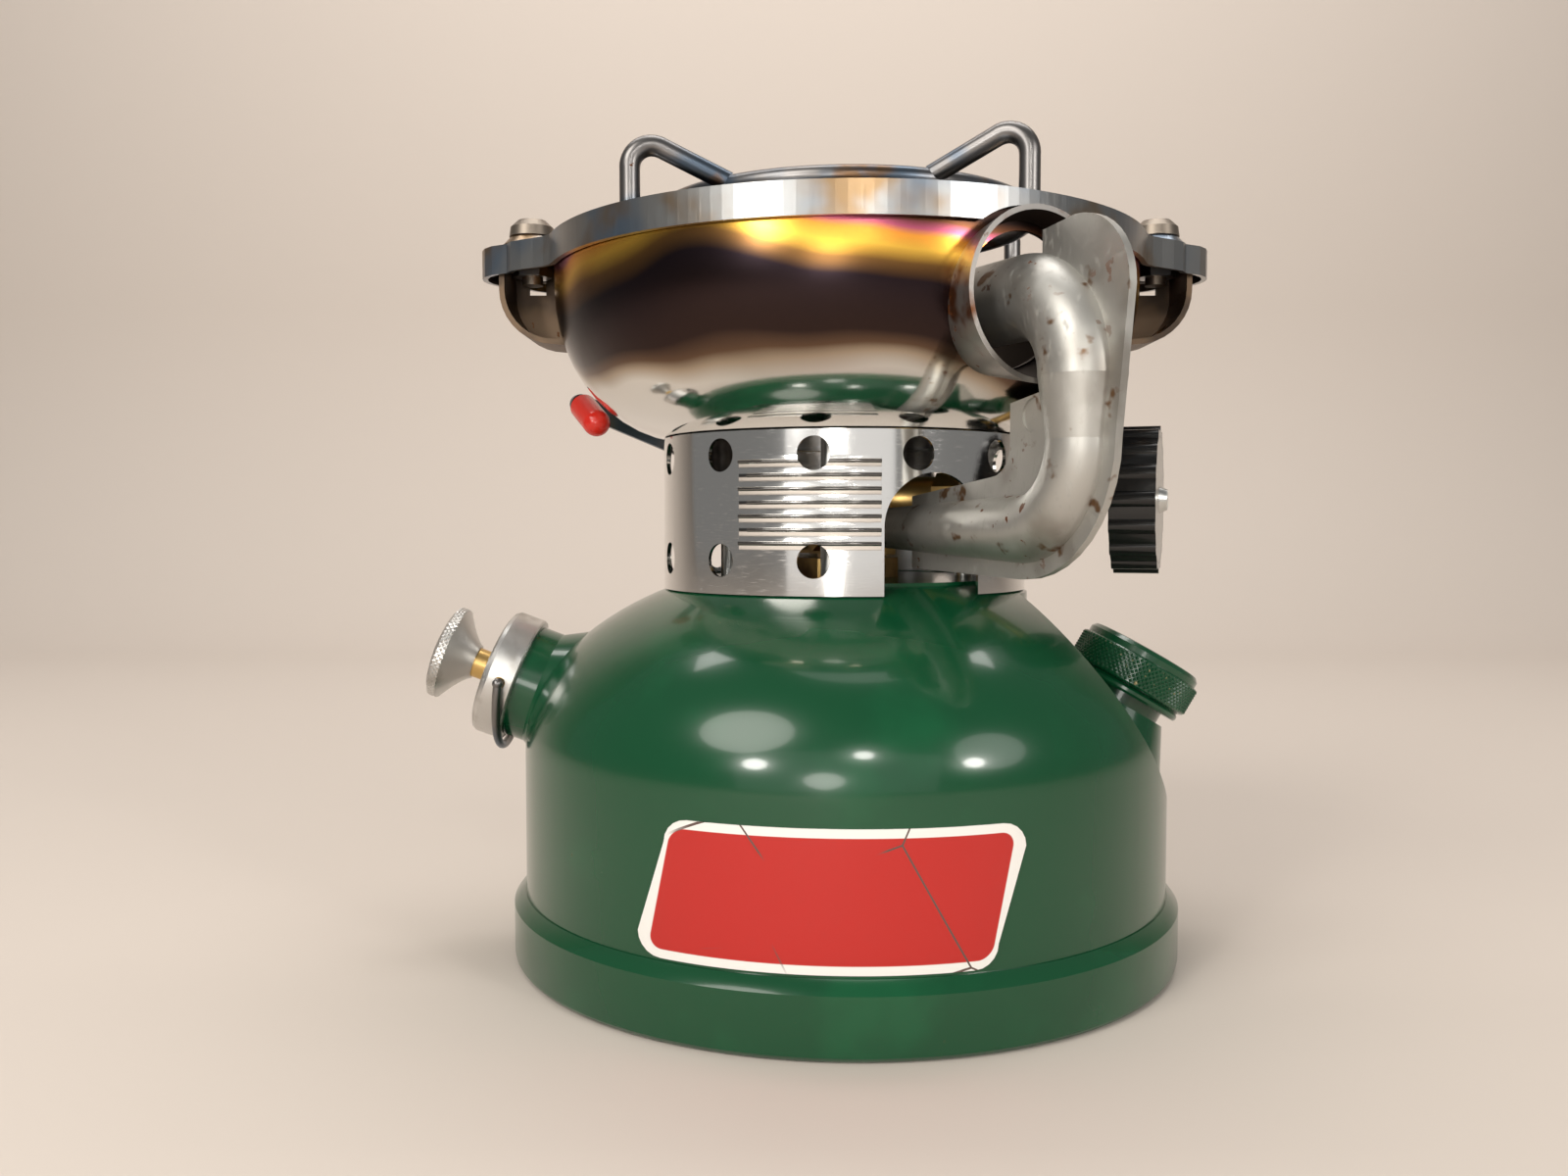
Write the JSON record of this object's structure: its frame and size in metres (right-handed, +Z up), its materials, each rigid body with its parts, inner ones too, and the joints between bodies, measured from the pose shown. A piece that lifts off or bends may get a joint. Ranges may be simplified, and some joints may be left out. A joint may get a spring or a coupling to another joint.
{
  "type": "camping stove",
  "caption": "Liquid-fuel camping stove: round fuel tank with hand pump and filler cap, ribbed collar, burner bowl, bent manifold and wire pot grate.",
  "frame": {"origin": "centre of the tank foot ring, on the ground plane", "axes": "+Z up, -Y towards the front with the label, +X towards the fuel valve knob and the filler cap"},
  "size_m": [0.1808, 0.1607, 0.176],
  "materials": {
    "green_enamel": "gloss green enamel",
    "label_red": "red enamel with a white border",
    "bright_aluminium": "satin, lightly scratched",
    "chrome_bowl": "mirror chrome, heat-tinted towards the rim",
    "zinc_steel": "zinc plated, fine scratches",
    "aluminised_steel": "dull grey with rust specks",
    "tarnished_steel": "brown tarnish",
    "dark_steel": "dark wire steel, blue heat tint",
    "burner_steel": "heat-dulled",
    "trim_steel": "pale trim",
    "brass": "dull brass",
    "black_plastic": "gloss black",
    "red_plastic": "gloss red",
    "rubber": "black rubber",
    "leather": "oiled brown leather"
  },
  "bodies": {
    "tank_body": {"tank_shell": "green_enamel", "tank_bottom_pan": "green_enamel", "front_label": "label_red", "filler_neck": "green_enamel", "pump_boss": "green_enamel", "pump_tube": "brass", "check_valve": "brass", "fuel_pickup_tube": "brass", "valve_body": "brass", "valve_packing_nut": "brass", "generator_tube": "dark_steel", "generator_nuts": "brass", "jet_nozzle": "brass", "cleaner_packing_nut": "brass", "collar": "bright_aluminium", "tie_rods": "trim_steel", "tie_nuts": "trim_steel", "bowl": "chrome_bowl", "port_sleeve": "aluminised_steel", "ear_bracket_left": "tarnished_steel", "ear_bracket_right": "tarnished_steel", "burner_base": "brass", "burner_rings": "burner_steel", "burner_cap": "burner_steel", "burner_screw": "brass", "manifold_front_half": "aluminised_steel", "manifold_rear_half": "aluminised_steel", "bezel_ring": "zinc_steel", "pot_grate": "dark_steel", "ear_washers": "zinc_steel", "ear_screws": "dark_steel", "ear_nuts": "zinc_steel", "pump_cap": "bright_aluminium", "pump_cap_clip": "dark_steel"},
    "fuel_valve": {"valve_stem": "brass", "valve_knob": "black_plastic", "knob_trim_disc": "trim_steel", "knob_screw": "trim_steel"},
    "cleaner": {"cleaner_lever": "dark_steel", "cleaner_grip": "red_plastic"},
    "needle": {"cleaning_needle": "trim_steel"},
    "pump_stem": {"air_stem": "brass"},
    "pump_plunger": {"plunger_tube": "trim_steel", "pump_cup": "leather", "cup_nut": "trim_steel", "pump_knob": "bright_aluminium"},
    "cap_seal": {"cap_insert": "trim_steel", "cap_gasket": "rubber", "cap_screw": "trim_steel"},
    "filler_knob": {"filler_cap": "green_enamel"}
  },
  "joints": [
    {"name": "valve_turn", "type": "hinge", "parent": "tank_body", "child": "fuel_valve", "pos_m": [0, 0, 0.1024], "axis": [0.9455, -0.3256, 0], "range_deg": [0, 450]},
    {"name": "cleaner_turn", "type": "hinge", "parent": "tank_body", "child": "cleaner", "pos_m": [0, 0, 0.0963], "axis": [0.4695, -0.8829, 0], "range_deg": [0, 40]},
    {"name": "needle_slide", "type": "slide", "parent": "tank_body", "child": "needle", "axis": [0.4695, -0.8829, 0], "range_m": [0, 0.0016]},
    {"name": "stem_turn", "type": "hinge", "parent": "tank_body", "child": "pump_stem", "pos_m": [-0.0785, 0, 0.062], "axis": [-0.9361, 0, 0.3518], "range_deg": [0, 360]},
    {"name": "plunger_stroke", "type": "slide", "parent": "pump_stem", "child": "pump_plunger", "axis": [-0.9361, 0, 0.3518], "range_m": [0, 0.045]},
    {"name": "cap_lift", "type": "slide", "parent": "tank_body", "child": "cap_seal", "axis": [0.5, 0, 0.866], "range_m": [0, 0.0045]},
    {"name": "cap_turn", "type": "hinge", "parent": "cap_seal", "child": "filler_knob", "pos_m": [0.0666, 0.005, 0.0572], "axis": [0.5, 0, 0.866], "range_deg": [0, 1080]}
  ],
  "couplings": [
    {"joint": "needle_slide", "follows": "cleaner_turn", "m_per_rad": 0.0022918},
    {"joint": "cap_lift", "follows": "cap_turn", "m_per_rad": 0.00023873}
  ]
}
